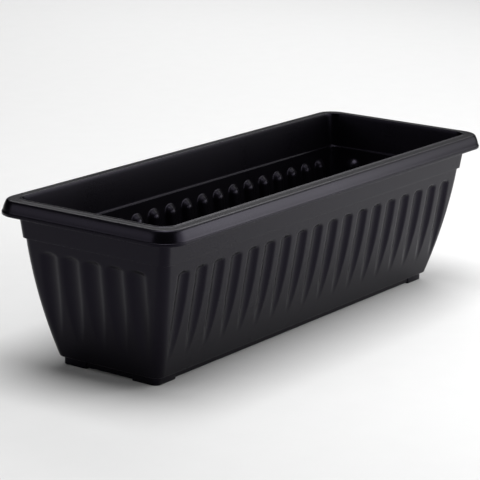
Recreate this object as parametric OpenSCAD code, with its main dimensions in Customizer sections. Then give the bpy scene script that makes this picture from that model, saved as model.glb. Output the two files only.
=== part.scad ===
// Fluted plant trough with a turned-down rim, a plinth on four corner feet and drain plugs.
// X runs along the trough, Y across it and Z up. The feet stand on z = 0.
// Each outline is given by its inset: how far it lies inside the outer edge of the rim.

/* [Trough] */
// Length over the rim
length = 600; // [300:10:900]
// Width over the rim
width = 216; // [180:2:300]
// Height from the ground to the top of the rim
height = 169; // [150:1:220]
// Thickness of the moulded walls, the floor and the rim
wall = 2.4; // [2:0.1:3]

/* [Rim] */
// Height of the rim from its lower edge to its flat top
rim_h = 15.5; // [12.5:0.5:20]
// Corner radius of the rim's lower edge, seen from above
rim_corner_r = 26; // [22:1:34]
// Corner radius of the mouth
mouth_corner_r = 14; // [8:1:18]
// Lean of the rim's sloping face from upright, in degrees
rim_lean = 20; // [12:1:26]
// Radius of the rounded shoulder between the sloping face and the flat top
shoulder_r = 3; // [1.5:0.5:4]
// Height of the bead along the rim's lower edge
bead_h = 3.4; // [2.4:0.2:4.4]
// How far the bead stands out from the sloping face
bead_out = 0.7; // [0.4:0.1:1]

/* [Collar] */
// Height of the plain collar between the rim and the fluted body
collar_h = 24; // [12:1:36]
// Inset of the collar at its lower edge
collar_in = 19.7; // [18.5:0.1:26]
// Lean of the collar from upright, in degrees
collar_lean = 6.5; // [3:0.5:8]
// Corner radius of the collar, seen from above
collar_corner_r = 8.5; // [6:0.5:12]
// Width of the step from the collar in to the body
step_w = 1.5; // [1:0.1:3]

/* [Body] */
// Lean of the body's wall just under the collar, in degrees
top_lean = 6; // [3:0.5:9]
// Radius of the wall's outward curve from top to bottom
bulge_r = 705; // [550:5:1500]
// Corner radius of the body, seen from above
body_corner_r = 10.5; // [7:0.5:14]

/* [Flutes] */
// Distance between the flutes of a long side, which sets their number
long_pitch = 29; // [25:0.5:40]
// Distance between the flutes of an end, which sets their number
end_pitch = 26.8; // [25:0.1:40]
// Radius of the round groove that a flute is
flute_r = 9; // [8:0.1:11]
// Depth of a flute at its domed top
flute_depth = 7.5; // [4:0.5:8]
// Distance from the collar down to the domed tops
flute_gap = 9.2; // [7:0.1:20]
// Height above the body's lower edge at which the flutes run out
flute_run = 19.4; // [10:0.2:40]

/* [Plinth and feet] */
// Height of the plinth under the body
plinth_h = 7.3; // [5:0.1:12]
// How far the plinth stands in from the body's lower edge
plinth_set = 5.5; // [4:0.1:10]
// Height of the feet below the plinth
foot_h = 1.3; // [1:0.1:3]
// How far the feet stand out from the plinth's faces
foot_out = 0.8; // [0.4:0.1:1.5]
// Length of a foot along the trough
foot_l = 30; // [20:1:45]
// Width of a foot across the trough
foot_w = 30; // [20:1:40]

/* [Drain holes] */
// Diameter of a drain hole
drain_d = 16; // [12:1:20]
// Distance between the drain holes along the middle of the floor
drain_pitch = 130; // [45:5:140]

/* [Drain plugs] */
// Radial clearance of a plug's stem in its hole
plug_gap = 0.05; // [0.02:0.01:0.1]
// How far the flange reaches past the edge of the hole
flange_lap = 4.5; // [3:0.5:7]
// Thickness of the flange
flange_t = 2; // [1.5:0.1:3]
// How far the stem reaches below the floor
stem_out = 0.6; // [0.2:0.1:0.9]
// Height of the grip above the flange
grip_h = 12; // [9:0.5:16]
// Length of the grip
grip_l = 14; // [10:0.5:16]
// Thickness of the grip
grip_t = 3; // [2:0.5:5]
// Diameter of the hole through the grip
grip_hole_d = 6; // [3:0.5:7]

/* [Hidden] */
$fn = 48;
trough_colour = [0.21, 0.2, 0.23];
plug_colour = [0.09, 0.09, 0.1];
plug_count = 4;

// Small roundings of the moulding's edges
edge_r = 1.2;
foot_edge_r = 0.4;
plug_edge_r = 0.4;
// Steps round a plan corner, up the curved wall and round the rim's shoulder
corner_steps = 6;
wall_steps = 8;
shoulder_steps = 4;
// How far a cutter or a joined solid reaches past the face that it meets
past = 1;

// Levels
plinth_z = foot_h;
floor_z = plinth_z + wall;
base_z = plinth_z + plinth_h;
rim_z = height - rim_h;
collar_z = rim_z - collar_h;
ledge_z = collar_z + edge_r;
flute_top_z = collar_z - flute_gap - flute_r;
flute_tip_z = base_z + flute_run;

// Inset of the body's outer face at height z, on an arc that leans more towards the ground
body_in = collar_in + step_w;
function wall_in(z) =
    let (lean = asin(sin(top_lean) + (collar_z - z) / bulge_r))
    body_in + bulge_r * (cos(top_lean) - cos(lean));

// Inset of the collar's outer face at height z
function collar_face(z) = collar_in - tan(collar_lean) * (z - collar_z);

base_in = wall_in(base_z);
plinth_in = base_in + plinth_set;
foot_in = plinth_in - foot_out;

// Insets and levels along the rim's section
bead_z = rim_z + bead_h;
shoulder_z = height - shoulder_r * (1 - sin(rim_lean));
shoulder_in = bead_out + (shoulder_z - bead_z) * tan(rim_lean);
land_in = shoulder_in + shoulder_r * cos(rim_lean);
mouth_in = collar_face(height) + wall;

// Points of a rounded rectangle, from its inset, height and corner radius
function ring(p) =
    let (x = length / 2 - p[0] - p[2], y = width / 2 - p[0] - p[2])
    [for (quarter = [0:3], i = [0:corner_steps])
        let (a = 90 * (quarter + i / corner_steps))
        let (x_side = quarter == 0 || quarter == 3 ? 1 : -1, y_side = quarter < 2 ? 1 : -1)
        [x_side * x + p[2] * cos(a), y_side * y + p[2] * sin(a), p[1]]];

// Solid whose skin runs over the rings from the first to the last, which are its two caps
module loft(rings) {
    n = 4 * (corner_steps + 1);
    last = len(rings) - 1;
    points = [for (p = rings) each ring(p)];
    caps = [[for (i = [0:n - 1]) i], [for (i = [0:n - 1]) last * n + n - 1 - i]];
    sides = [for (k = [0:last - 1], i = [0:n - 1])
        let (a = k * n + i, b = k * n + (i + 1) % n)
        each [[a, a + n, b + n], [a, b + n, b]]];
    polyhedron(points, concat(caps, sides));
}

// Rings of the body's curved wall from one height to another, moved in by a distance
function body_wall(in, from_z, to_z) =
    [for (i = [0:wall_steps])
        let (z = from_z + (to_z - from_z) * i / wall_steps)
        [wall_in(z) + in, z, body_corner_r - in]];

// Outer face from the plinth's underside up to the underside of the rim
outer_rings = concat(
    [[plinth_in + edge_r, plinth_z, body_corner_r - edge_r],
     [plinth_in, plinth_z + edge_r, body_corner_r],
     [plinth_in, base_z, body_corner_r],
     [base_in + edge_r, base_z, body_corner_r]],
    body_wall(0, base_z + edge_r, collar_z),
    [[collar_in, ledge_z, collar_corner_r],
     [collar_face(height - wall), height - wall, collar_corner_r]]);

// Rim: down inside the lip, round its lower edge and bead, and up over the shoulder.
// Its corners share one centre, so each radius follows from the inset.
rim_rings = [for (p = concat(
    [[land_in, height - wall],
     [shoulder_in + wall, shoulder_z - wall / 2],
     [bead_out + wall, bead_z],
     [wall, rim_z],
     [edge_r / 2, rim_z],
     [0, rim_z + edge_r / 2],
     [0, bead_z - bead_out],
     [bead_out, bead_z]],
    [for (i = [0:shoulder_steps])
        let (a = rim_lean + (90 - rim_lean) * i / shoulder_steps)
        [shoulder_in + shoulder_r * (cos(rim_lean) - cos(a)), height - shoulder_r * (1 - sin(a))]]))
    [p[0], p[1], rim_corner_r - p[0]]];

// Inner face from the mouth down to the floor
inner_rings = concat(
    [[mouth_in - edge_r, height, mouth_corner_r + edge_r / 2],
     [mouth_in, height - edge_r, mouth_corner_r],
     [collar_face(ledge_z) + wall, ledge_z, collar_corner_r - wall],
     [body_in + wall, ledge_z, body_corner_r - wall]],
    body_wall(wall, collar_z, base_z + wall),
    [[plinth_in + wall, base_z + wall, body_corner_r - wall],
     [plinth_in + wall, floor_z, body_corner_r - wall]]);

// Round-nosed bar that a flute is cut with, on a wall that looks along -Y from its edge at y = 0.
// It leans so that its groove has its full depth at the nose and none at the tip.
module flute_bar(r) {
    nose_y = wall_in(flute_top_z) + flute_depth - flute_r;
    tip_y = wall_in(flute_tip_z) - flute_r;
    drop = flute_top_z - flute_tip_z;
    translate([0, nose_y, flute_top_z]) rotate([180 + atan2(tip_y - nose_y, drop), 0, 0])
        rotate_extrude() {
            square([r, drop + flute_r]);
            intersection() {
                circle(r);
                translate([0, -r]) square([r, r + past]);
            }
        }
}

// A row of bars, as many as the straight stretch of the wall at their noses holds
module flute_row(side_l, side_w, pitch, r) {
    straight = side_l - 2 * (wall_in(flute_top_z) + body_corner_r);
    count = floor(straight / pitch);
    for (turn = [0, 180], i = [0:count - 1])
        rotate(turn) translate([(i - (count - 1) / 2) * pitch, -side_w / 2, 0]) flute_bar(r);
}

module flute_bars(r) {
    flute_row(length, width, long_pitch, r);
    rotate(90) flute_row(width, length, end_pitch, r);
}

// Four feet that wrap the plinth's corners and lie under its floor
module feet() {
    x = length / 2 - foot_in;
    y = width / 2 - foot_in;
    intersection() {
        difference() {
            loft([[foot_in + foot_edge_r, 0, body_corner_r - foot_edge_r],
                  [foot_in, foot_edge_r, body_corner_r],
                  [foot_in, base_z + wall / 2, body_corner_r]]);
            loft([[plinth_in + wall / 2, plinth_z + wall / 2, body_corner_r - wall / 2],
                  [plinth_in + wall / 2, base_z + wall, body_corner_r - wall / 2]]);
        }
        for (x_side = [-1, 1], y_side = [-1, 1])
            translate([x_side * (x - (foot_l - past) / 2), y_side * (y - (foot_w - past) / 2), base_z / 2])
                cube([foot_l + past, foot_w + past, base_z + 2 * wall], center = true);
    }
}

function drain_x(i) = (i - (plug_count + 1) / 2) * drain_pitch;

module trough() {
    color(trough_colour) difference() {
        union() {
            loft(concat(outer_rings, rim_rings, inner_rings));
            intersection() {
                flute_bars(flute_r + wall);
                loft(body_wall(wall / 2, base_z + edge_r, collar_z));
            }
            feet();
        }
        flute_bars(flute_r);
        for (i = [1:plug_count])
            translate([drain_x(i), 0, plinth_z - past]) cylinder(d = drain_d, h = wall + 2 * past);
    }
}

// Turned profile of a plug: a stem that fills the hole and a flange that lies on the floor
module plug_body() {
    stem_r = drain_d / 2 - plug_gap;
    flange_r = drain_d / 2 + flange_lap;
    foot_z = plinth_z - stem_out;
    top_z = floor_z + flange_t;
    rotate_extrude() polygon([
        [0, foot_z], [stem_r - plug_edge_r, foot_z], [stem_r, foot_z + plug_edge_r],
        [stem_r, floor_z], [flange_r, floor_z], [flange_r, top_z - plug_edge_r],
        [flange_r - plug_edge_r, top_z], [0, top_z]]);
}

// Upright tab with a round top and a hole to hook it by
module plug_grip() {
    round_z = grip_h - grip_l / 2;
    translate([0, grip_t / 2, floor_z + flange_t]) rotate([90, 0, 0]) linear_extrude(grip_t)
        difference() {
            union() {
                translate([-grip_l / 2, -past]) square([grip_l, round_z + past]);
                translate([0, round_z]) circle(d = grip_l);
            }
            translate([0, round_z]) circle(d = grip_hole_d);
        }
}

module plug(i) {
    color(plug_colour) translate([drain_x(i), 0, 0]) {
        plug_body();
        plug_grip();
    }
}

trough();
for (i = [1:plug_count])
    plug(i);
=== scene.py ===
"""Fluted plant trough: its moulded shell, corner feet and drain plugs, on a pale studio floor."""

import math
from itertools import product
from types import SimpleNamespace

import bpy
import numpy as np
from bpy.props import FloatProperty, FloatVectorProperty, IntProperty, PointerProperty
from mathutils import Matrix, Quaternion, Vector
from mathutils.geometry import tessellate_polygon


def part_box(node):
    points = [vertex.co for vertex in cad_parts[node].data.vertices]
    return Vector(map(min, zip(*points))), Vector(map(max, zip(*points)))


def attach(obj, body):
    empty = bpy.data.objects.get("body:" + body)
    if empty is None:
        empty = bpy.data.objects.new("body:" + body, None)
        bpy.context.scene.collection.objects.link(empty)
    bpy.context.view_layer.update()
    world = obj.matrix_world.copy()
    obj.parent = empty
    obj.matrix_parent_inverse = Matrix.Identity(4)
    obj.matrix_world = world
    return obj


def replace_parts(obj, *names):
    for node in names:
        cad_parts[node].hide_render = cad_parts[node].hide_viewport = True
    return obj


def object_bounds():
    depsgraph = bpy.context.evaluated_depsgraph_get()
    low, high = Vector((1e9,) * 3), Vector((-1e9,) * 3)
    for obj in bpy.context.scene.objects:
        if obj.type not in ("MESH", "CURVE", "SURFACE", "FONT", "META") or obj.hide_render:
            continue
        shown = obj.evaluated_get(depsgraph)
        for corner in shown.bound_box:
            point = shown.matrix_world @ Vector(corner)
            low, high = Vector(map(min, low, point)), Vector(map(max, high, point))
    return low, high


bl_info = {
    "name": "Fluted Plant Trough",
    "version": (1, 0, 0),
    "blender": (4, 5, 0),
    "location": "View3D > Sidebar > Trough",
    "description": "Builds a moulded plant trough with flutes, feet and drain plugs",
    "category": "Add Mesh",
}

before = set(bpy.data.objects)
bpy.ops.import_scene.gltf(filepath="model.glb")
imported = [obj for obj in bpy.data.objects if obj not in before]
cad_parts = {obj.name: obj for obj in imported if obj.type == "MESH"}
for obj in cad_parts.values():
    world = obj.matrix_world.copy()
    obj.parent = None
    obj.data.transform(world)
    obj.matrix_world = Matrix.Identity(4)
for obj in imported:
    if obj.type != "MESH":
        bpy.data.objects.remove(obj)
CAD_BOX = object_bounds()

MM = 0.001
TROUGH = "trough"
PLUGS = sorted(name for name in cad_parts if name.startswith("plug_"))
TROUGH_SLOT = "trough_plastic"
PLUG_SLOT = "plug_rubber"
# Attribute that marks outward edges, which the plastic paints lighter: partly handling marks, partly a
# painted highlight.
WEAR_AND_HIGHLIGHT = "wear"
UP, DOWN = (0, 0, 1), (0, 0, -1)
CREASE = math.radians(40)
SENSOR_MM = 36

# A ring is a level outline round the trough, with an inset, a height, a corner radius and a kind.
PLAIN, FLUTED, RIBBED = "plain", "fluted", "ribbed"

# Numbers of the sockets that a Mix node has for colours.
MIX_SHARE, MIX_LOW, MIX_HIGH, MIX_RESULT = 0, 6, 7, 2

# Name, azimuth from +X and elevation in degrees, distance, width and height in metres, and the box's
# share of the power that its name's first word stands for.
SOFT_BOXES = (
    ("top_above", 0, 89.5, 2.5, 1.6, 1.6, 0.9),
    ("top_right", 0, 42, 2.5, 1.4, 1.2, 0.1),
    ("key_near", -50, 21, 1.25, 0.7, 0.7, 0.28),
    ("key_front", -80, 21, 1.25, 0.7, 0.7, 0.17),
    ("key_right", -30, 19, 2.5, 1.3, 1.0, 0.28),
    ("key_high", -50, 56, 2.5, 1.2, 0.9, 0.27),
    ("back_left", 150, 21.5, 2.5, 1.5, 0.8, 0.62),
    ("back_high", 150, 56, 2.5, 1.2, 0.9, 0.32),
    ("back_right", 22, 21.5, 2.5, 1.3, 0.6, 0.06),
)

# The box that hangs over the far floor: its place, and its width and length, in metres.
FAR_PLACE = Vector((2.0, 1.6, 1.8))
FAR_WIDTH, FAR_LENGTH = 1.6, 2.4


def length_property(name, description, millimetres):
    """A length that the user sees in the scene's units."""
    metres = millimetres * MM
    return FloatProperty(name=name, description=description, default=metres, min=0, precision=4,
                         unit="LENGTH")


def angle_property(name, description, degrees):
    """An angle that the user sees in degrees."""
    return FloatProperty(name=name, description=description, default=math.radians(degrees), unit="ROTATION")


def colour_property(name, description, colour):
    """A linear colour."""
    return FloatVectorProperty(name=name, description=description, default=colour, min=0, max=1,
                               subtype="COLOR")


def share_property(name, description, value):
    """A number from 0 to 1."""
    return FloatProperty(name=name, description=description, default=value, min=0, max=1, subtype="FACTOR")


def power_property(name, description, watts):
    """The power of a soft box."""
    return FloatProperty(name=name, description=description, default=watts, min=0, unit="POWER")


class TroughShape(bpy.types.PropertyGroup):
    """Sizes of the trough. An inset is how far an outline lies inside the rim's edge."""

    length: length_property("Length", "Length over the rim", (CAD_BOX[1].x - CAD_BOX[0].x) / MM)
    width: length_property("Width", "Width over the rim", (CAD_BOX[1].y - CAD_BOX[0].y) / MM)
    height: length_property("Height", "Height over the rim's lip", CAD_BOX[1].z / MM)
    wall: length_property("Wall", "Thickness of the moulded walls", 2.4)
    edge: length_property("Edge", "Radius of the moulding's outer edges", 1.2)
    fillet: length_property("Fillet", "Radius of the moulding's inner corners", 0.8)

    rim_height: length_property("Rim height", "Height of the turned-down rim", 15.5)
    rim_corner: length_property("Rim corner", "Corner radius of the rim's lower edge", 26)
    rim_lean: angle_property("Rim lean", "Lean of the rim's sloping face from upright", 20)
    rim_curve: angle_property("Rim curve", "How far the sloping face turns to each side of its lean", 8)
    shoulder: length_property("Shoulder", "Radius between the sloping face and the flat top", 3.4)
    bead_height: length_property("Bead height", "Height of the bead along the rim's lower edge", 3.4)
    bead_out: length_property("Bead", "How far the bead stands out from the sloping face", 0.7)
    lip_height: length_property("Lip height", "Height of the lip round the mouth above the flat top", 0.7)
    lip_width: length_property("Lip width", "Width of the lip round the mouth", 3.0)
    mouth_corner: length_property("Mouth corner", "Corner radius of the mouth", 14)

    collar_height: length_property("Collar height", "Height of the plain collar under the rim", 24)
    collar_inset: length_property("Collar inset", "Inset of the collar's lower edge", 19.7)
    collar_lean: angle_property("Collar lean", "Lean of the collar from upright", 6.5)
    collar_corner: length_property("Collar corner", "Corner radius of the collar", 8.5)
    step: length_property("Step", "Width of the step from the collar to the body", 1.5)

    body_lean: angle_property("Body lean", "Lean of the body's wall under the collar", 6)
    body_bulge: length_property("Body bulge", "Radius of the wall's curve from top to bottom", 705)
    body_corner: length_property("Body corner", "Corner radius of the body", 10.5)

    long_count: IntProperty(name="Long flutes", description="Flutes on each long side", default=18, min=1)
    end_count: IntProperty(name="End flutes", description="Flutes on each end", default=5, min=1)
    long_pitch: length_property("Long pitch", "Distance between the flutes of a long side", 29)
    end_pitch: length_property("End pitch", "Distance between the flutes of an end", 26.8)
    flute_radius: length_property("Flute radius", "Radius of a long side's flute", 12)
    flute_flank: angle_property("Flute sides", "Steepest slope of a flute's sides", 50)
    flute_depth: length_property("Flute depth", "Depth of a long side's flute in its upper part", 3.6)
    flute_fillet: length_property("Flute fillet", "Depth over which its sides round off into the wall", 1.2)
    end_radius: length_property("End radius", "Radius of an end's flute", 21)
    end_depth: length_property("End depth", "Depth of an end's flute in its upper part", 2.7)
    nose_drop: length_property("Nose drop", "From the collar down to where a flute begins to close", 14.6)
    nose_squeeze: FloatProperty(name="Nose", description="How many times shorter than round its top is",
                                default=2, min=1)
    rib_radius: length_property("Rib radius", "Radius of the ribs on the inner wall", 9.3)
    rib_flank: angle_property("Rib sides", "Steepest slope of the ribs' sides", 61)
    rib_depth: length_property("Rib depth", "How far the ribs stand out from the inner wall", 6.2)
    rib_fillet: length_property("Rib fillet", "Depth over which the ribs round off into the inner wall", 2)
    rib_drop: length_property("Rib drop", "From the collar down to the centre of a rib's domed top", 19.4)
    full_rise: length_property("Full depth", "Height over the base from which a flute is full", 83.4)
    tip_rise: length_property("Tip", "Height over the base at which a flute runs out", 19.4)

    plinth_height: length_property("Plinth height", "Height of the plinth under the body", 7.3)
    plinth_set: length_property("Plinth set-back", "How far the plinth stands in from the base", 5.5)
    foot_height: length_property("Foot height", "Height of the feet under the plinth", 1.3)
    foot_out: length_property("Foot", "How far the feet stand out from the plinth", 0.8)
    foot_size: length_property("Foot size", "Length and width of a foot", 30)
    foot_corner: length_property("Foot corner", "Radius of a foot's outer corner", 6)
    foot_edge: length_property("Foot edge", "Radius of a foot's edges", 0.5)

    drain_diameter: length_property("Drain hole", "Diameter of a drain hole", 16)
    drain_pitch: length_property("Drain pitch", "Distance between the drain holes", 130)


class PlugShape(bpy.types.PropertyGroup):
    """Sizes of a drain plug. Its place and its overall size come from the frame."""

    flange_height: length_property("Flange", "Thickness of the flange that lies on the floor", 2)
    grip_thickness: length_property("Grip", "Thickness of the upright grip", 3)
    grip_length: length_property("Grip length", "Length of the grip", 14)
    grip_hole: length_property("Grip hole", "Diameter of the hole through the grip", 6)
    grip_hole_drop: length_property("Grip hole drop", "From the grip's top down to its hole's centre", 7)
    gap: length_property("Gap", "Gap between the stem and the drain hole", 0.05)
    edge: length_property("Edge", "Radius of the plug's edges", 0.4)


class TroughFinish(bpy.types.PropertyGroup):
    """Colours and gloss of the trough, the plugs and the floor."""

    plastic: colour_property("Plastic", "Colour of the moulded plastic", (0.0021, 0.0018, 0.0027))
    sheen: colour_property("Sheen", "Tint of the plastic's reflections", (0.77, 0.69, 1.0))
    sheen_level: share_property("Sheen level", "Strength of the plastic's reflections", 0.163)
    roughness: share_property("Roughness", "Roughness of the plastic", 0.28)
    rubber: colour_property("Rubber", "Colour of the drain plugs", (0.012, 0.012, 0.0125))
    floor: colour_property("Floor", "Colour of the studio floor", (0.76, 0.76, 0.76))


class StudioSetup(bpy.types.PropertyGroup):
    """Where the camera stands, how far the floor reaches and how strong the lights are."""

    azimuth: angle_property("Azimuth", "Turn of the view away from +Y, counter-clockwise from above", -55.4)
    elevation: angle_property("Elevation", "Height of the camera above the horizon", 14.6)
    roll: angle_property("Roll", "Turn of the camera about its axis", 1.365)
    distance: length_property("Distance", "From the camera to the point it looks at", 2253.6)
    target: FloatVectorProperty(name="Target", description="Point that the camera looks at", subtype="XYZ",
                                unit="LENGTH", default=(-31.3 * MM, 0, 91.7 * MM))
    lens: FloatProperty(name="Lens", description=f"Focal length on a {SENSOR_MM} mm sensor", default=161.9,
                        unit="CAMERA")
    floor_size: length_property("Floor size", "Width and length of the floor", 18000)
    top_power: power_property("Top", "Power of the soft boxes overhead and high on the right", 58.5)
    key_power: power_property("Key", "Power of the soft boxes at the right front", 20)
    back_power: power_property("Back", "Power of the soft boxes at the back", 10.5)
    far_power: power_property("Far floor", "Power of the soft box over the far floor", 35)


def mark_out(shape):
    """Marks out the levels and insets that follow from the trough's sizes."""
    marks = SimpleNamespace()
    marks.plinth_z = shape.foot_height
    marks.floor_z = marks.plinth_z + shape.wall
    marks.base_z = marks.plinth_z + shape.plinth_height
    marks.rim_z = shape.height - shape.rim_height
    marks.collar_z = marks.rim_z - shape.collar_height
    marks.land_z = shape.height - shape.lip_height
    marks.bead_z = marks.rim_z + shape.bead_height
    marks.under_z = marks.land_z - shape.wall
    marks.body_in = shape.collar_inset + shape.step
    marks.base_in = wall_inset(shape, marks, marks.base_z)
    marks.plinth_in = marks.base_in + shape.plinth_set
    marks.foot_in = marks.plinth_in - shape.foot_out
    marks.mouth_in = collar_inset(shape, marks, shape.height) + shape.wall
    marks.nose_z = marks.collar_z - shape.nose_drop
    marks.rib_nose_z = marks.collar_z - shape.rib_drop
    marks.full_z = marks.base_z + shape.full_rise
    marks.tip_z = marks.base_z + shape.tip_rise
    return marks


def wall_lean(shape, marks, z):
    """Lean of the body's outer face at height z. It grows towards the ground."""
    return math.asin(math.sin(shape.body_lean) + (marks.collar_z - z) / shape.body_bulge)


def wall_inset(shape, marks, z):
    """Inset of the body's outer face at height z."""
    lean = wall_lean(shape, marks, z)
    return marks.body_in + shape.body_bulge * (math.cos(shape.body_lean) - math.cos(lean))


def collar_inset(shape, marks, z):
    """Inset of the collar's outer face at height z."""
    return shape.collar_inset - math.tan(shape.collar_lean) * (z - marks.collar_z)


def arc(inset, z, radius, start, end, steps=3):
    """Points on an arc in the wall's section. Angle 0 points out of the trough and 90 degrees up."""
    angles = np.radians(np.linspace(start, end, steps + 1))
    return [(inset - radius * math.cos(angle), z + radius * math.sin(angle)) for angle in angles]


def wall_levels(shape, marks, low, high):
    """Heights of the body's rings, close together over the tips and the closed tops of its flutes."""
    tip_stretch, dome_start, dome_end = 20 * MM, 3 * MM, 7 * MM
    tip_end_z = marks.tip_z + tip_stretch
    dome_z = min(marks.nose_z, marks.rib_nose_z) - dome_start
    dome_end_z = marks.collar_z - dome_end
    spans = [(low, marks.tip_z, 4), (marks.tip_z, tip_end_z, 9), (tip_end_z, dome_z, 13),
             (dome_z, dome_end_z, 16), (dome_end_z, high, 4)]
    return np.concatenate([np.linspace(start, end, rings)[:-1] for start, end, rings in spans] + [[high]])


def skirt_points(shape, marks):
    """The rim's sloping face, slightly curved, and its round shoulder up to the flat top."""
    steps = 6
    low, high = shape.rim_lean - shape.rim_curve, shape.rim_lean + shape.rim_curve
    rise = marks.land_z - marks.bead_z - shape.shoulder * (1 - math.sin(high))
    radius = rise / (math.sin(high) - math.sin(low))
    centre = (shape.bead_out + radius * math.cos(low), marks.bead_z - radius * math.sin(low))
    face = arc(*centre, radius, math.degrees(low), math.degrees(high), steps)
    inset, z = face[-1]
    centre = (inset + shape.shoulder * math.cos(high), z - shape.shoulder * math.sin(high))
    return face, arc(*centre, shape.shoulder, math.degrees(high), 90, steps)


def outer_section(shape, marks):
    """Rings of the outside, from the plinth's underside up to the underside of the rim."""
    edge, fillet = shape.edge, shape.fillet
    flat, step_hollow, step_edge = 3 * MM, 0.3 * MM, 0.4 * MM
    base_lean = wall_lean(shape, marks, marks.base_z)
    start_z = marks.base_z + edge * (1 - math.sin(base_lean))
    start_in = wall_inset(shape, marks, start_z) + edge * math.cos(base_lean)
    points = [(marks.plinth_in + edge + flat, marks.plinth_z)]
    points += arc(marks.plinth_in + edge, marks.plinth_z + edge, edge, -90, 0, 4)
    points += arc(marks.plinth_in - fillet, marks.base_z - fillet, fillet, 180, 90)
    points += arc(start_in, marks.base_z + edge, edge, -90, -math.degrees(base_lean), 4)
    rings = [(inset, z, shape.body_corner, PLAIN) for inset, z in points]
    levels = wall_levels(shape, marks, start_z + fillet, marks.collar_z - fillet)
    rings += [(wall_inset(shape, marks, z), z, shape.body_corner, FLUTED) for z in levels]
    points = arc(marks.body_in - step_hollow, marks.collar_z - step_hollow, step_hollow, 180, 90, 2)
    rings += [(inset, z, shape.body_corner, PLAIN) for inset, z in points]
    step_z = marks.collar_z + step_edge
    step_in = collar_inset(shape, marks, step_z) + step_edge * math.cos(shape.collar_lean)
    points = arc(step_in, step_z, step_edge, -90, -math.degrees(shape.collar_lean), 4)
    levels = np.linspace(marks.collar_z + 2 * edge, marks.rim_z, 3)
    points += [(collar_inset(shape, marks, z), z) for z in levels]
    top_in = collar_inset(shape, marks, marks.under_z - fillet)
    points += arc(top_in - fillet, marks.under_z - fillet, fillet, 180, 90)
    return rings + [(inset, z, shape.collar_corner, PLAIN) for inset, z in points]


def rim_section(shape, marks):
    """Rings of the rim: down inside it, round its lower edge and bead, and up to the flat top."""
    face, shoulder = skirt_points(shape, marks)
    top_in = face[-1][0] + shape.wall
    bead_round, inner_round, tiny = 0.6 * MM, 0.4 * MM, 0.2 * MM
    points = [(top_in + 3 * shape.fillet, marks.under_z), (top_in + shape.fillet, marks.under_z - tiny)]
    points += [(top_in, marks.under_z - 2 * shape.fillet)]
    points += [(inset + shape.wall, z) for inset, z in face[4::-2]]
    points += arc(shape.wall - inner_round, marks.rim_z + inner_round, inner_round, 180, 270, 2)
    points += arc(bead_round, marks.rim_z + bead_round, bead_round, -90, 0)
    points += arc(bead_round, marks.bead_z - shape.bead_out - tiny, bead_round, 0, 70)
    points += [(shape.bead_out - tiny / 2, marks.bead_z - tiny)]
    points += face[1:] + shoulder[1:]
    land_in = shoulder[-1][0] + bead_round
    points += [(land_in, marks.land_z)]
    return [(inset, z, shape.rim_corner - inset, PLAIN) for inset, z in points]


def lip_section(shape, marks):
    """Rings from the flat top over the rounded lip into the mouth."""
    crest_round, rise_steps = 1.0 * MM, 6
    start_in = marks.mouth_in - shape.lip_width
    crest_in = marks.mouth_in - crest_round
    points = [(start_in - shape.edge / 2, marks.land_z)]
    for share in np.linspace(0, 1, rise_steps + 1)[:-1]:
        smooth = share * share * (3 - 2 * share)
        points.append((start_in + (crest_in - start_in) * share, marks.land_z + shape.lip_height * smooth))
    points += arc(crest_in, shape.height - crest_round, crest_round, 90, 175, 4)
    return [(inset, z, shape.mouth_corner + marks.mouth_in - inset, PLAIN) for inset, z in points]


def inner_section(shape, marks):
    """Rings of the inside, from the mouth down over the ledge and the ribs to the floor."""
    edge, fillet, wall = shape.edge, shape.fillet, shape.wall
    flat, mouth_drop, ledge_edge = 3 * MM, 4 * MM, 0.7 * MM
    ledge_z = marks.collar_z + edge
    low_corner = shape.collar_corner - wall
    body_corner = shape.body_corner - wall
    rings = []
    for z in np.linspace(shape.height - mouth_drop, ledge_z + 3 * fillet, 4):
        share = (z - ledge_z) / (shape.height - ledge_z)
        corner = low_corner + (shape.mouth_corner - low_corner) * share
        rings.append((collar_inset(shape, marks, z) + wall, z, corner, PLAIN))
    ledge_in = collar_inset(shape, marks, ledge_z + fillet) + wall
    points = arc(ledge_in + fillet, ledge_z + fillet, fillet, 0, -90)
    rings += [(inset, z, low_corner, PLAIN) for inset, z in points]
    points = arc(marks.body_in + wall - ledge_edge, ledge_z - ledge_edge, ledge_edge, 90, 176)
    rings += [(inset, z, body_corner, PLAIN) for inset, z in points]
    shelf_z = marks.base_z + wall
    levels = wall_levels(shape, marks, shelf_z + 2 * fillet, marks.collar_z - fillet)[::-1]
    rings += [(wall_inset(shape, marks, z) + wall, z, body_corner, RIBBED) for z in levels]
    shelf_in = wall_inset(shape, marks, shelf_z + fillet) + wall
    points = arc(shelf_in + fillet, shelf_z + fillet, fillet, -15, -90)
    plinth_in = marks.plinth_in + wall
    points += arc(plinth_in - edge, shelf_z - edge, edge, 90, 180)
    points += arc(plinth_in + edge, marks.floor_z + edge, edge, 0, -90)
    points += [(plinth_in + edge + flat, marks.floor_z)]
    return rings + [(inset, z, body_corner, PLAIN) for inset, z in points]


def soften(bed, fillet):
    """What stands above 0, with a fillet of the given depth where it meets 0."""
    overlap = np.maximum(fillet - np.abs(bed), 0)
    return np.maximum(bed, 0) + overlap * overlap / (4 * fillet)


def groove_section(depth, radius, flank, fillet, away):
    """How deep a groove is beside its middle: a round bottom that runs into straight sides."""
    turn_at = radius * math.sin(flank)
    bottom = np.sqrt(radius ** 2 - np.minimum(away, turn_at) ** 2) - radius
    return soften(depth + bottom - math.tan(flank) * np.maximum(away - turn_at, 0), fillet)


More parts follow.
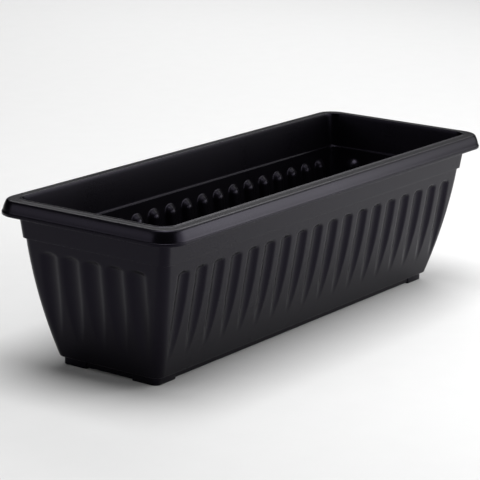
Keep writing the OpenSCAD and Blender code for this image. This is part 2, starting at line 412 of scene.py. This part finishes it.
def flute_depth(shape, marks, across, z, kind, on_end):
    """How far a flute, or the rib on the inner wall, moves the wall in at a distance from its middle line.
    The flutes of the ends have their own section. Towards its lower tip each gets narrower and shallower."""
    fade = 1.15
    if z <= marks.tip_z:
        return 0 * across
    share = math.sin(math.pi / 2 * min(1, (z - marks.tip_z) / (marks.full_z - marks.tip_z)))
    if kind == RIBBED:
        section = (shape.rib_depth, shape.rib_radius, shape.rib_flank, shape.rib_fillet)
        top_z, squeeze = marks.rib_nose_z, 1
    else:
        size = (shape.end_depth, shape.end_radius) if on_end else (shape.flute_depth, shape.flute_radius)
        section = (*size, shape.flute_flank, shape.flute_fillet)
        top_z, squeeze = marks.nose_z, shape.nose_squeeze
    away = np.hypot(across, max(0, z - top_z) * squeeze)
    return share ** fade * groove_section(*section, away / math.sqrt(share))


def side_columns(count, pitch, half):
    """Places of the mesh's columns along a side, closest together on the flanks of its flutes."""
    cells, bunch, margin_steps = 16, 0.4, 3
    place = np.linspace(-1, 1, cells + 1)[:-1]
    cell = pitch / 2 * (place + bunch * np.sin(2 * math.pi * place) / (2 * math.pi))
    cells_in_row = [cell + (index - (count - 1) / 2) * pitch for index in range(count)]
    middle = np.concatenate(cells_in_row + [[count * pitch / 2]])
    margin = np.linspace(count * pitch / 2, half, margin_steps + 1)[1:]
    return np.concatenate([-margin[::-1], middle, margin])


def fit_columns(columns, half, held):
    """Moves the outer columns so that the row ends at the straight stretch's end, and leaves the rest."""
    spare = 4 * MM
    keep = min(held, half - spare)
    beyond = np.maximum(np.abs(columns) - keep, 0) * (half - keep) / (columns[-1] - keep)
    return np.sign(columns) * (np.minimum(np.abs(columns), keep) + beyond)


def ring_points(shape, marks, ring, sides):
    """Points of one ring, counter-clockwise from the left end of the front."""
    inset, z, corner, kind = ring
    corner_steps = 13
    points = []
    for side in range(4):
        on_end = side % 2 == 1
        columns, count, pitch = sides[side % 2]
        reach, away = (shape.width, shape.length) if on_end else (shape.length, shape.width)
        half, away = reach / 2 - inset - corner, away / 2 - inset
        along = fit_columns(columns, half, (count - 1) / 2 * pitch)
        depth = 0 * along
        if kind != PLAIN:
            index = np.clip(np.round(along / pitch + (count - 1) / 2), 0, count - 1)
            across = along - (index - (count - 1) / 2) * pitch
            depth = flute_depth(shape, marks, across, z, kind, on_end)
        angle = np.radians(np.linspace(-90, 0, corner_steps + 1)[1:-1])
        x = np.concatenate([along, half + corner * np.cos(angle)])
        y = np.concatenate([depth - away, corner - away + corner * np.sin(angle)])
        cosine, sine = round(math.cos(side * math.pi / 2)), round(math.sin(side * math.pi / 2))
        points.append(np.stack([cosine * x - sine * y, sine * x + cosine * y, np.full_like(x, z)], 1))
    return np.concatenate(points)


def convex_wear(rings):
    """1 on the sharpest outward edges of the section and 0 on flat and hollow stretches. The plastic paints
    these edges lighter, partly as handling marks and partly as a painted highlight.
    """
    least_span = 0.1 * MM
    points = np.array([(inset, z) for inset, z, _, _ in rings])
    before, after = np.diff(points, axis=0)[:-1], np.diff(points, axis=0)[1:]
    bend = np.arctan2(before[:, 1] * after[:, 0] - before[:, 0] * after[:, 1], (before * after).sum(1))
    span = (np.linalg.norm(before, axis=1) + np.linalg.norm(after, axis=1)) / 2 + least_span
    return np.concatenate([[0], np.clip(bend / span * MM, 0, 1), [0]])


def circle(radius, z, x, steps=48):
    """Points of a level circle round (x, 0)."""
    angles = np.linspace(0, 2 * math.pi, steps, endpoint=False)
    return np.stack([x + radius * np.cos(angles), radius * np.sin(angles), np.full(steps, z)], 1)


class MeshParts:
    """Vertices and faces of a piece while it is being put together."""

    def __init__(self):
        self.vertices, self.faces, self.wear, self.count = [], [], [], 0

    def add(self, points, wear=0.0):
        """Adds points and returns their numbers."""
        points = np.asarray(points, float)
        self.vertices.append(points)
        self.wear.append(np.full(len(points), wear))
        self.count += len(points)
        return np.arange(self.count - len(points), self.count)

    def bridge(self, low, high):
        """Joins two closed loops of as many points with a band of four-sided faces."""
        self.faces += np.stack([low, np.roll(low, -1), np.roll(high, -1), high], 1).tolist()

    def tube(self, loops):
        """Joins each closed loop to the next."""
        for low, high in zip(loops, loops[1:]):
            self.bridge(low, high)

    def plate(self, outline, holes, facing):
        """Fills a flat outline with holes. The faces turn towards a direction."""
        points = np.concatenate(self.vertices)
        loops = [outline, *holes]
        order = np.concatenate(loops)
        for a, b, c in tessellate_polygon([[Vector(points[i]) for i in loop] for loop in loops]):
            p, q, r = points[order[a]], points[order[b]], points[order[c]]
            side = float(np.dot(np.cross(q - p, r - p), facing))
            if side:
                self.faces.append([int(order[i]) for i in ((a, b, c) if side > 0 else (a, c, b))])

    def cap(self, loops):
        """Closes both ends of a tube with one face each."""
        self.faces += [loops[0][::-1].tolist(), loops[-1].tolist()]

    def piece(self, name, body, slot, material, crease=None):
        """Makes the piece, which rides on a body and takes the given finish. The slot is not used.
        Edges that turn by more than the crease angle stay sharp."""
        mesh = bpy.data.meshes.new(name)
        mesh.from_pydata(np.concatenate(self.vertices).tolist(), [], self.faces)
        mesh.attributes.new(WEAR_AND_HIGHLIGHT, "FLOAT", "POINT").data.foreach_set("value", np.concatenate(self.wear))
        mesh.shade_smooth()
        if crease:
            mesh.set_sharp_from_angle(angle=crease)
        mesh.materials.append(material)
        mesh.update()
        item = bpy.data.objects.new(name, mesh)
        bpy.context.scene.collection.objects.link(item)
        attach(item, body)
        return item


def build_bore(parts, shape, marks, index):
    """The wall of a drain hole through the floor, with a small chamfer at both ends."""
    chamfer, flat = 0.4 * MM, 1.2 * MM
    radius = shape.drain_diameter / 2
    x = (index - (len(PLUGS) - 1) / 2) * shape.drain_pitch
    profile = [(radius + flat, marks.plinth_z), (radius + chamfer, marks.plinth_z)]
    profile += [(radius, marks.plinth_z + chamfer), (radius, marks.floor_z - chamfer)]
    profile += [(radius + chamfer, marks.floor_z), (radius + flat, marks.floor_z)]
    loops = [parts.add(circle(reach, z, x)) for reach, z in profile]
    parts.tube([loop[::-1] for loop in loops])
    return loops


def build_shell(shape):
    """The one moulding: rim, collar, fluted body, plinth and floor, with its drain holes."""
    marks = mark_out(shape)
    sections = (outer_section, rim_section, lip_section, inner_section)
    rings = [ring for section in sections for ring in section(shape, marks)]
    half_x = shape.length / 2 - marks.body_in - shape.body_corner
    half_y = shape.width / 2 - marks.body_in - shape.body_corner
    sides = [(side_columns(shape.long_count, shape.long_pitch, half_x), shape.long_count, shape.long_pitch),
             (side_columns(shape.end_count, shape.end_pitch, half_y), shape.end_count, shape.end_pitch)]
    parts = MeshParts()
    # Outward edges, which the plastic paints lighter, partly as handling marks and partly as a painted
    # highlight.
    wears = convex_wear(rings)
    loops = [parts.add(ring_points(shape, marks, ring, sides), wear) for ring, wear in zip(rings, wears)]
    parts.tube(loops)
    bores = [build_bore(parts, shape, marks, index) for index in range(len(PLUGS))]
    parts.plate(loops[0], [bore[0] for bore in bores], DOWN)
    parts.plate(loops[-1], [bore[-1] for bore in bores], UP)
    return parts


def lathe(parts, x, profile):
    """Turns a profile of (radius, height) about the upright axis at (x, 0), closed at both ends."""
    loops = [parts.add(circle(radius, z, x)) for radius, z in profile]
    parts.tube(loops)
    parts.cap(loops)


def turn(centre, radius, start, end, steps=4):
    """Points on an arc in a plan. The angles are in degrees, counter-clockwise from the first axis."""
    angles = np.radians(np.linspace(start, end, steps + 1))
    return [(centre[0] + radius * math.cos(angle), centre[1] + radius * math.sin(angle)) for angle in angles]


def edge_rounding(radius, steps=3):
    """Pairs of (how far an outline shrinks, height) that round the edge of a flat face."""
    angles = np.linspace(0, math.pi / 2, steps + 1)
    return [(radius * (1 - math.sin(angle)), radius * (1 - math.cos(angle))) for angle in angles]


class Shade:
    """A shader socket that Python's operators work on. Each one adds a Math node."""

    def __init__(self, finish, socket):
        self.finish, self.socket = finish, socket

    def math(self, operation, other):
        """A Math node on this value and another."""
        return self.finish.node("ShaderNodeMath", {"operation": operation}, {0: self, 1: other})

    def __add__(self, other):
        return self.math("ADD", other)

    def __sub__(self, other):
        return self.math("SUBTRACT", other)

    def __rsub__(self, other):
        return Shade(self.finish, other).math("SUBTRACT", self)

    def __mul__(self, other):
        return self.math("MULTIPLY", other)

    __radd__ = __add__
    __rmul__ = __mul__


class Finish:
    """A procedural material and the nodes that it is made of."""

    def __init__(self, name):
        self.data = bpy.data.materials.new(name)
        self.data.use_nodes = True
        self.tree = self.data.node_tree
        self.shader = self.tree.nodes["Principled BSDF"]

    def put(self, socket, value):
        """Links a value to a socket, or sets the number or colour that it holds."""
        value = value.socket if isinstance(value, Shade) else value
        if isinstance(value, bpy.types.NodeSocket):
            self.tree.links.new(value, socket)
        else:
            socket.default_value = value

    def node(self, kind, settings, sockets, out=0):
        """Adds a node: its type, its settings, what goes into its sockets, and the output to use."""
        node = self.tree.nodes.new(kind)
        for key, value in settings.items():
            setattr(node, key, value)
        for key, value in sockets.items():
            self.put(node.inputs[key], value)
        return Shade(self, node.outputs[out])

    def set(self, **named):
        """Sets or links the shader's own sockets."""
        for key, value in named.items():
            self.put(self.shader.inputs[key.replace("_", " ")], value)

    def place(self):
        """The point's place on the object, in metres."""
        return self.node("ShaderNodeTexCoord", {}, {}, "Object")

    def noise(self, place, scale, detail, stretch=None):
        """Cloudy noise from 0 to 1 whose features are about 1/scale metres across."""
        if stretch:
            place = self.node("ShaderNodeVectorMath", {"operation": "MULTIPLY"}, {0: place, 1: stretch})
        return self.node("ShaderNodeTexNoise", {}, {"Vector": place, "Scale": scale, "Detail": detail})

    def mix(self, share, low, high):
        """A colour between two others."""
        sockets = {MIX_SHARE: share, MIX_LOW: low, MIX_HIGH: high}
        return self.node("ShaderNodeMix", {"data_type": "RGBA"}, sockets, MIX_RESULT)

    def bump(self, height, strength, distance, under=None):
        """A normal that follows a height, over another bump if there is one."""
        sockets = {"Strength": strength, "Distance": distance, "Height": height}
        if under:
            sockets["Normal"] = under
        return self.node("ShaderNodeBump", {}, sockets)


def tint(colour, share):
    """A colour made lighter or darker."""
    return (*(c * share for c in colour), 1.0)


def plastic_finish(colour, roughness, sheen, level):
    """Satin moulded plastic: fine grain, faint flow marks, and lighter outward edges, partly worn by
    handling and partly a painted highlight.
    """
    finish = Finish("satin_plastic")
    place = finish.place()
    grain = finish.noise(place, scale=1500, detail=2)
    ripple = finish.noise(place, scale=90, detail=1)
    flow = finish.noise(place, scale=14, detail=3, stretch=(1, 1, 0.25))
    cloud = finish.noise(place, scale=5, detail=2)
    scuff = finish.noise(place, scale=260, detail=4)
    wear = finish.node("ShaderNodeAttribute", {"attribute_name": WEAR_AND_HIGHLIGHT}, {}, "Fac")
    patches = (scuff * 2.4 - 0.8).math("MAXIMUM", 0.0)
    rubbed_and_highlit = wear * patches
    shade = finish.mix(cloud, tint(colour, 0.85), tint(colour, 1.15))
    # Lighter outward edges in patches: partly handling marks, partly a painted highlight on the shell's
    # bead, shoulder, lip and other outward edges.
    shade = finish.mix(rubbed_and_highlit * 0.5, shade, tint(colour, 2.2))
    rough = (roughness - 0.06) + flow * 0.08 + grain * 0.05 - rubbed_and_highlit * 0.05
    finish.set(Base_Color=shade, Roughness=rough)
    soft = finish.bump(ripple, strength=0.12, distance=0.25 * MM)
    finish.set(Normal=finish.bump(grain, strength=0.35, distance=0.03 * MM, under=soft))
    finish.set(IOR=1.49, Specular_IOR_Level=level, Specular_Tint=(*sheen, 1))
    return finish.data


def rubber_finish(colour):
    """Soft black rubber with a dusty bloom and a fine pebbled skin."""
    finish = Finish("soft_rubber")
    place = finish.place()
    grain = finish.noise(place, scale=2200, detail=3)
    bloom = finish.noise(place, scale=120, detail=3)
    shade = finish.mix(bloom, tint(colour, 0.8), tint(colour, 1.7))
    finish.set(Base_Color=shade, Roughness=0.62 + bloom * 0.2)
    finish.set(Normal=finish.bump(grain, strength=0.4, distance=0.05 * MM))
    return finish.data


def floor_finish(colour):
    """Pale matt paper with a faint grain."""
    finish = Finish("paper_floor")
    fibre = finish.noise(finish.place(), scale=30, detail=3)
    shade = finish.mix(fibre, tint(colour, 0.985), tint(colour, 1.015))
    finish.set(Base_Color=shade, Roughness=0.9, Specular_IOR_Level=0.2)
    return finish.data


def foot_outline(shape, shrink, wall):
    """A foot's outline, in insets from its two outer sides: the whole pad where the wall's width is 0,
    and the wall that wraps the plinth where it isn't."""
    far, end, corner = shape.foot_size, shape.foot_edge, shape.foot_corner
    corner_steps, bend_steps = 8, 6
    points = turn((far - shrink - end, shrink + end), end, 0, -90)
    points += turn((corner, corner), corner - shrink, -90, -180, corner_steps)
    points += turn((shrink + end, far - shrink - end), end, 180, 90)
    if wall:
        inner = shape.body_corner - shape.wall / 2
        bend = turn((wall + inner, wall + inner), inner, 180, 270, bend_steps)
        return points + [(wall, far)] + bend + [(far, wall)]
    far -= shrink
    bend = turn((far - corner, far - corner), corner, 90, 0, bend_steps)
    return points + [(far / 2, far)] + bend + [(far, far / 2)]


def build_foot(shape, marks, x_side, y_side):
    """A corner foot: a pad under the floor, and a wall that wraps the plinth's corner up to the base."""
    wall = shape.foot_out + shape.wall / 2
    pad_z = marks.plinth_z + shape.wall / 2
    slope, sunk = shape.wall / 8, shape.wall / 4
    levels = [(shrink, 0, z) for shrink, z in edge_rounding(shape.foot_edge)]
    levels += [(0, 0, pad_z), (0, wall, pad_z + slope), (0, wall, marks.base_z + sunk)]
    parts, loops = MeshParts(), []
    far_x, far_y = shape.length / 2 - marks.foot_in, shape.width / 2 - marks.foot_in
    for shrink, width, z in levels:
        outline = foot_outline(shape, shrink, width)[::1 if x_side * y_side < 0 else -1]
        loops.append(parts.add([(x_side * (far_x - a), y_side * (far_y - b), z) for a, b in outline]))
    parts.tube(loops)
    parts.cap(loops)
    return parts


def build_grip(parts, plug, x, low, high):
    """The plug's upright grip, round at the top, with a finger hole across it."""
    half, depth = plug.grip_length / 2, plug.grip_thickness / 2
    rising = [(shrink, z - depth) for shrink, z in edge_rounding(plug.edge)]
    hole_z = high - plug.grip_hole_drop
    top_steps, hole_sides = 16, 16
    loops, holes = [], []
    for shrink, y in rising + [(shrink, -y) for shrink, y in rising[::-1]]:
        outline = [(-half + shrink, low), (half - shrink, low)]
        outline += turn((0, high - half), half - shrink, 0, 180, top_steps)
        hole = turn((0, hole_z), plug.grip_hole / 2 + shrink, 0, 360, hole_sides)[:-1]
        loops.append(parts.add([(x + a, -y, b) for a, b in outline]))
        holes.append(parts.add([(x + a, -y, b) for a, b in hole]))
    parts.tube(loops)
    parts.tube([loop[::-1] for loop in holes])
    parts.plate(loops[0], [holes[0]], (0, 1, 0))
    parts.plate(loops[-1], [holes[-1]], (0, -1, 0))


def build_plug(shape, plug, floor_z, low, high):
    """A drain plug between the corners of its box: a stem in the drain hole, a flange and a grip."""
    x, flange = (low.x + high.x) / 2, (high.x - low.x) / 2
    stem, edge, top = shape.drain_diameter / 2 - plug.gap, plug.edge, floor_z + plug.flange_height
    profile = [(stem - shrink, low.z + z) for shrink, z in edge_rounding(edge)]
    profile = [(stem - 3 * edge, low.z)] + profile + [(stem, floor_z)]
    profile += [(flange - shrink, floor_z + z) for shrink, z in edge_rounding(edge)]
    profile += [(flange - shrink, top - z) for shrink, z in edge_rounding(2 * edge)[::-1]]
    profile += [(flange - 4 * edge, top)]
    parts = MeshParts()
    lathe(parts, x, profile)
    build_grip(parts, plug, x, top - edge, high.z)
    return parts


class TROUGH_OT_shell(bpy.types.Operator):
    """Builds the trough's moulded shell in place of its CAD solid."""

    bl_idname = "trough.shell"
    bl_label = "Moulded Shell"

    def execute(self, context):
        scene = context.scene
        look = scene.trough_finish
        finish = plastic_finish(look.plastic, look.roughness, look.sheen, look.sheen_level)
        shell = build_shell(scene.trough_shape).piece("moulded_shell", TROUGH, TROUGH_SLOT, finish)
        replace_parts(shell, TROUGH)
        return {"FINISHED"}


class TROUGH_OT_feet(bpy.types.Operator):
    """Builds the four corner feet under the plinth."""

    bl_idname = "trough.feet"
    bl_label = "Corner Feet"

    def execute(self, context):
        shape = context.scene.trough_shape
        finish = bpy.data.materials.get("satin_plastic")
        if finish is None:
            raise RuntimeError("Build the moulded shell first: its feet share its plastic")
        marks = mark_out(shape)
        sides, ends = {"left": -1, "right": 1}, {"front": -1, "back": 1}
        for side, end in product(sides, ends):
            parts = build_foot(shape, marks, sides[side], ends[end])
            foot = parts.piece(f"foot_{end}_{side}", TROUGH, TROUGH_SLOT, finish, CREASE)
            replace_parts(foot, TROUGH)
        return {"FINISHED"}


class TROUGH_OT_plugs(bpy.types.Operator):
    """Builds the drain plugs, each in place of its CAD solid."""

    bl_idname = "trough.plugs"
    bl_label = "Drain Plugs"

    def execute(self, context):
        shape, plug = context.scene.trough_shape, context.scene.plug_shape
        finish = rubber_finish(context.scene.trough_finish.rubber)
        floor_z = mark_out(shape).floor_z
        for name in PLUGS:
            parts = build_plug(shape, plug, floor_z, *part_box(name))
            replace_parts(parts.piece(f"drain_{name}", name, PLUG_SLOT, finish, CREASE), name)
        return {"FINISHED"}


class TROUGH_OT_studio(bpy.types.Operator):
    """Lays the floor, hangs the soft lights and sets up the camera."""

    bl_idname = "trough.studio"
    bl_label = "Studio"

    def execute(self, context):
        scene, studio = context.scene, context.scene.studio_setup
        self.add_floor(scene, studio)
        self.add_world(scene)
        self.add_lights(scene, studio)
        self.add_camera(scene, studio)
        scene.view_settings.view_transform = "Standard"
        return {"FINISHED"}

    def add_floor(self, scene, studio):
        """A wide flat sheet of paper under the feet."""
        half = studio.floor_size / 2
        corners = [(-half, -half, 0), (half, -half, 0), (half, half, 0), (-half, half, 0)]
        mesh = bpy.data.meshes.new("studio_floor")
        mesh.from_pydata(corners, [], [(0, 1, 2, 3)])
        mesh.materials.append(floor_finish(scene.trough_finish.floor))
        floor = bpy.data.objects.new("studio_floor", mesh)
        scene.collection.objects.link(floor)

    def add_world(self, scene):
        """A black room, so that only the soft boxes and the floor light the trough."""
        world = bpy.data.worlds.new("studio_world")
        world.use_nodes = True
        world.node_tree.nodes["Background"].inputs["Color"].default_value = (0, 0, 0, 1)
        scene.world = world

    def add_lights(self, scene, studio):
        """Soft boxes that face the trough, and one that lights the floor far behind it."""
        power = {"top": studio.top_power, "key": studio.key_power, "back": studio.back_power}
        for name, azimuth, elevation, distance, wide, tall, share in SOFT_BOXES:
            around, above = math.radians(azimuth), math.radians(elevation)
            flat = math.cos(above)
            towards = Vector((math.cos(around) * flat, math.sin(around) * flat, math.sin(above)))
            watts = share * power[name.split("_")[0]]
            self.add_box(scene, name, towards * distance, Vector(), wide, tall, watts)
        below = Vector((FAR_PLACE.x, FAR_PLACE.y, 0))
        self.add_box(scene, "far_floor", FAR_PLACE, below, FAR_WIDTH, FAR_LENGTH, studio.far_power)

    def add_box(self, scene, name, place, target, wide, tall, power):
        """One soft box that faces a point."""
        light = bpy.data.lights.new(name, "AREA")
        light.shape, light.energy = "RECTANGLE", power
        light.size, light.size_y = wide, tall
        lamp = bpy.data.objects.new(name, light)
        lamp.location = place
        lamp.rotation_euler = (target - place).to_track_quat("-Z", "Y").to_euler()
        scene.collection.objects.link(lamp)

    def add_camera(self, scene, studio):
        """A long lens that looks down on the near corner."""
        data = bpy.data.cameras.new("studio_camera")
        data.sensor_width, data.lens = SENSOR_MM, studio.lens
        camera = bpy.data.objects.new("studio_camera", data)
        azimuth, elevation = studio.azimuth, studio.elevation
        flat = math.cos(elevation)
        back = Vector((math.sin(azimuth) * flat, -math.cos(azimuth) * flat, math.sin(elevation)))
        camera.location = Vector(studio.target) + back * studio.distance
        camera.rotation_mode = "QUATERNION"
        camera.rotation_quaternion = (-back).to_track_quat("-Z", "Y") @ Quaternion((0, 0, 1), studio.roll)
        scene.collection.objects.link(camera)
        scene.camera = camera


OPERATORS = (TROUGH_OT_shell, TROUGH_OT_feet, TROUGH_OT_plugs, TROUGH_OT_studio)


class TROUGH_PT_panel(bpy.types.Panel):
    """Lists the operators that build the trough and its studio, and their settings."""

    bl_label = "Trough"
    bl_idname = "TROUGH_PT_panel"
    bl_space_type = "VIEW_3D"
    bl_region_type = "UI"
    bl_category = "Trough"

    def draw(self, context):
        for operator in OPERATORS:
            self.layout.operator(operator.bl_idname)
        for name, group in GROUPS.items():
            box = self.layout.box()
            for key in group.__annotations__:
                box.prop(getattr(context.scene, name), key)


GROUPS = {
    "trough_shape": TroughShape,
    "plug_shape": PlugShape,
    "trough_finish": TroughFinish,
    "studio_setup": StudioSetup,
}


def register():
    """Registers the classes and gives the scene its settings."""
    for item in (*GROUPS.values(), *OPERATORS, TROUGH_PT_panel):
        bpy.utils.register_class(item)
    for name, group in GROUPS.items():
        setattr(bpy.types.Scene, name, PointerProperty(type=group))


def unregister():
    """Takes the settings and the classes away again."""
    for name in GROUPS:
        delattr(bpy.types.Scene, name)
    for item in reversed((*GROUPS.values(), *OPERATORS, TROUGH_PT_panel)):
        bpy.utils.unregister_class(item)


def main():
    """Builds every piece."""
    register()
    bpy.ops.trough.shell()
    bpy.ops.trough.feet()
    bpy.ops.trough.plugs()
    bpy.ops.trough.studio()


if __name__ == "__main__":
    main()
